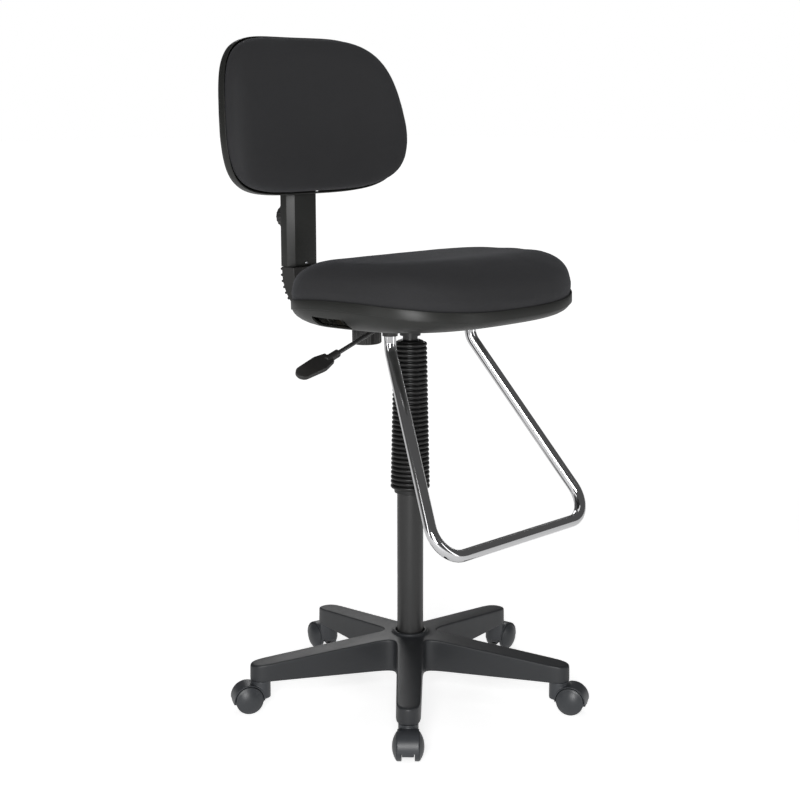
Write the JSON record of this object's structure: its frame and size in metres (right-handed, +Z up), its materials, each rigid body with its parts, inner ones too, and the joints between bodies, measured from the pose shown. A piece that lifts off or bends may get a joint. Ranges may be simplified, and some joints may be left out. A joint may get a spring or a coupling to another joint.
{
  "type": "drafting chair",
  "caption": "Armless drafting chair with a padded seat and back, a gas lift under bellows, a teardrop footrest and a star base on twin-wheel casters.",
  "frame": {"origin": "on the floor, on the axis of the column", "axes": "+Z up, the sitter faces -Y, +X to the sitter's left"},
  "size_m": [0.6644, 0.6744, 1.2565],
  "materials": {
    "base_plastic": "satin moulded nylon, dark grey",
    "caster_plastic": "satin moulded nylon, dark grey",
    "wheel_plastic": "satin moulded nylon, dark grey",
    "bright_steel": "ground steel",
    "zinc_steel": "zinc plated",
    "column_paint": "satin black powder coat",
    "bush_plastic": "moulded black",
    "bellows_rubber": "black, slight sheen",
    "rod_chrome": "hard chrome",
    "gland_brass": "machined",
    "frame_paint": "satin black",
    "lever_paint": "gloss black",
    "knob_plastic": "moulded black, fine grain",
    "shell_plastic": "moulded black, satin",
    "boot_rubber": "black, satin",
    "board_wood": "birch plywood, bare",
    "cushion_fabric": "charcoal black, fine woven",
    "footrest_chrome": "polished"
  },
  "bodies": {
    "base": {"base_spider": "base_plastic", "column_tube": "column_paint", "column_bush": "bush_plastic", "thrust_race_lower": "bright_steel", "thrust_balls": "bright_steel", "bellows": "bellows_rubber"},
    "gas_rod": {"piston_rod": "rod_chrome", "piston": "bright_steel", "thrust_race_upper": "bright_steel", "rod_clip": "bright_steel"},
    "seat": {"gas_cylinder": "column_paint", "cylinder_gland": "gland_brass", "taper_socket": "frame_paint", "mechanism_box": "frame_paint", "seat_bolts": "zinc_steel", "lever_bracket": "zinc_steel", "lever_pivot": "bright_steel", "seat_shell": "shell_plastic", "seat_board": "board_wood", "seat_cushion": "cushion_fabric", "footrest_tube": "footrest_chrome", "footrest_brackets": "frame_paint"},
    "valve_pin": {"valve_pin": "bright_steel"},
    "lever": {"lever_rod": "lever_paint", "lever_paddle": "knob_plastic"},
    "depth_knob": {"depth_knob": "knob_plastic"},
    "back_bar": {"back_bar": "frame_paint", "bar_boot": "boot_rubber", "upright_cover": "shell_plastic"},
    "backrest": {"back_bracket": "frame_paint", "back_bolts": "zinc_steel", "back_shell": "shell_plastic", "back_board": "board_wood", "back_cushion": "cushion_fabric"},
    "height_knob": {"height_knob": "knob_plastic"},
    "caster_1": {"caster_hood_1": "caster_plastic", "caster_stem_1": "bright_steel", "caster_axle_1": "bright_steel"},
    "wheel_left_1": {"caster_wheel_left_1": "wheel_plastic"},
    "wheel_right_1": {"caster_wheel_right_1": "wheel_plastic"},
    "caster_2": {"caster_hood_2": "caster_plastic", "caster_stem_2": "bright_steel", "caster_axle_2": "bright_steel"},
    "wheel_left_2": {"caster_wheel_left_2": "wheel_plastic"},
    "wheel_right_2": {"caster_wheel_right_2": "wheel_plastic"},
    "caster_3": {"caster_hood_3": "caster_plastic", "caster_stem_3": "bright_steel", "caster_axle_3": "bright_steel"},
    "wheel_left_3": {"caster_wheel_left_3": "wheel_plastic"},
    "wheel_right_3": {"caster_wheel_right_3": "wheel_plastic"},
    "caster_4": {"caster_hood_4": "caster_plastic", "caster_stem_4": "bright_steel", "caster_axle_4": "bright_steel"},
    "wheel_left_4": {"caster_wheel_left_4": "wheel_plastic"},
    "wheel_right_4": {"caster_wheel_right_4": "wheel_plastic"},
    "caster_5": {"caster_hood_5": "caster_plastic", "caster_stem_5": "bright_steel", "caster_axle_5": "bright_steel"},
    "wheel_left_5": {"caster_wheel_left_5": "wheel_plastic"},
    "wheel_right_5": {"caster_wheel_right_5": "wheel_plastic"}
  },
  "joints": [
    {"name": "seat_swivel", "type": "hinge", "parent": "base", "child": "gas_rod", "pos_m": [0, 0, 0.08], "axis": [0, 0, 1], "continuous": true},
    {"name": "seat_height", "type": "slide", "parent": "gas_rod", "child": "seat", "axis": [0, 0, 1], "range_m": [-0.2, 0], "deforming": ["bellows"]},
    {"name": "lever_lift", "type": "hinge", "parent": "seat", "child": "lever", "pos_m": [-0.028, 0.005, 0.74129], "axis": [0, 1, 0], "range_deg": [0, 6], "stiffness_Nm_per_rad": 0.3},
    {"name": "valve_press", "type": "slide", "parent": "seat", "child": "valve_pin", "axis": [0, 0, -1], "range_m": [0, 0.003]},
    {"name": "depth_knob_turn", "type": "hinge", "parent": "seat", "child": "depth_knob", "pos_m": [0, 0.11496, 0.73399], "axis": [0, 0.0262, 0.9997], "range_deg": [0, 360]},
    {"name": "back_depth", "type": "slide", "parent": "seat", "child": "back_bar", "axis": [0, 0.9997, -0.0262], "range_m": [-0.02, 0.02]},
    {"name": "back_height", "type": "slide", "parent": "back_bar", "child": "backrest", "axis": [0, 0, 1], "range_m": [-0.03, 0.03]},
    {"name": "height_knob_turn", "type": "hinge", "parent": "backrest", "child": "height_knob", "pos_m": [0, 0.32, 0.908], "axis": [0, 1, 0], "range_deg": [-360, 0]},
    {"name": "caster_swivel_1", "type": "hinge", "parent": "base", "child": "caster_1", "pos_m": [-0.21856, -0.19888, 0.06], "axis": [0, 0, 1], "continuous": true},
    {"name": "wheel_spin_left_1", "type": "hinge", "parent": "caster_1", "child": "wheel_left_1", "pos_m": [-0.23742, -0.21604, 0.026], "axis": [0.673, -0.7396, 0], "continuous": true},
    {"name": "wheel_spin_right_1", "type": "hinge", "parent": "caster_1", "child": "wheel_right_1", "pos_m": [-0.23742, -0.21604, 0.026], "axis": [0.673, -0.7396, 0], "continuous": true},
    {"name": "caster_swivel_2", "type": "hinge", "parent": "base", "child": "caster_2", "pos_m": [0.1216, -0.26932, 0.06], "axis": [0, 0, 1], "continuous": true},
    {"name": "wheel_spin_left_2", "type": "hinge", "parent": "caster_2", "child": "wheel_left_2", "pos_m": [0.1321, -0.29256, 0.026], "axis": [0.9114, 0.4115, 0], "continuous": true},
    {"name": "wheel_spin_right_2", "type": "hinge", "parent": "caster_2", "child": "wheel_right_2", "pos_m": [0.1321, -0.29256, 0.026], "axis": [0.9114, 0.4115, 0], "continuous": true},
    {"name": "caster_swivel_3", "type": "hinge", "parent": "base", "child": "caster_3", "pos_m": [0.29372, 0.03243, 0.06], "axis": [0, 0, 1], "continuous": true},
    {"name": "wheel_spin_left_3", "type": "hinge", "parent": "caster_3", "child": "wheel_left_3", "pos_m": [0.31906, 0.03522, 0.026], "axis": [-0.1097, 0.994, 0], "continuous": true},
    {"name": "wheel_spin_right_3", "type": "hinge", "parent": "caster_3", "child": "wheel_right_3", "pos_m": [0.31906, 0.03522, 0.026], "axis": [-0.1097, 0.994, 0], "continuous": true},
    {"name": "caster_swivel_4", "type": "hinge", "parent": "base", "child": "caster_4", "pos_m": [0.05992, 0.28936, 0.06], "axis": [0, 0, 1], "continuous": true},
    {"name": "wheel_spin_left_4", "type": "hinge", "parent": "caster_4", "child": "wheel_left_4", "pos_m": [0.06509, 0.31433, 0.026], "axis": [-0.9792, 0.2028, 0], "continuous": true},
    {"name": "wheel_spin_right_4", "type": "hinge", "parent": "caster_4", "child": "wheel_right_4", "pos_m": [0.06509, 0.31433, 0.026], "axis": [-0.9792, 0.2028, 0], "continuous": true},
    {"name": "caster_swivel_5", "type": "hinge", "parent": "base", "child": "caster_5", "pos_m": [-0.25668, 0.14641, 0.06], "axis": [0, 0, 1], "continuous": true},
    {"name": "wheel_spin_left_5", "type": "hinge", "parent": "caster_5", "child": "wheel_left_5", "pos_m": [-0.27883, 0.15904, 0.026], "axis": [-0.4955, -0.8686, 0], "continuous": true},
    {"name": "wheel_spin_right_5", "type": "hinge", "parent": "caster_5", "child": "wheel_right_5", "pos_m": [-0.27883, 0.15904, 0.026], "axis": [-0.4955, -0.8686, 0], "continuous": true}
  ],
  "couplings": [
    {"joint": "valve_press", "follows": "lever_lift", "m_per_rad": 0.028}
  ]
}
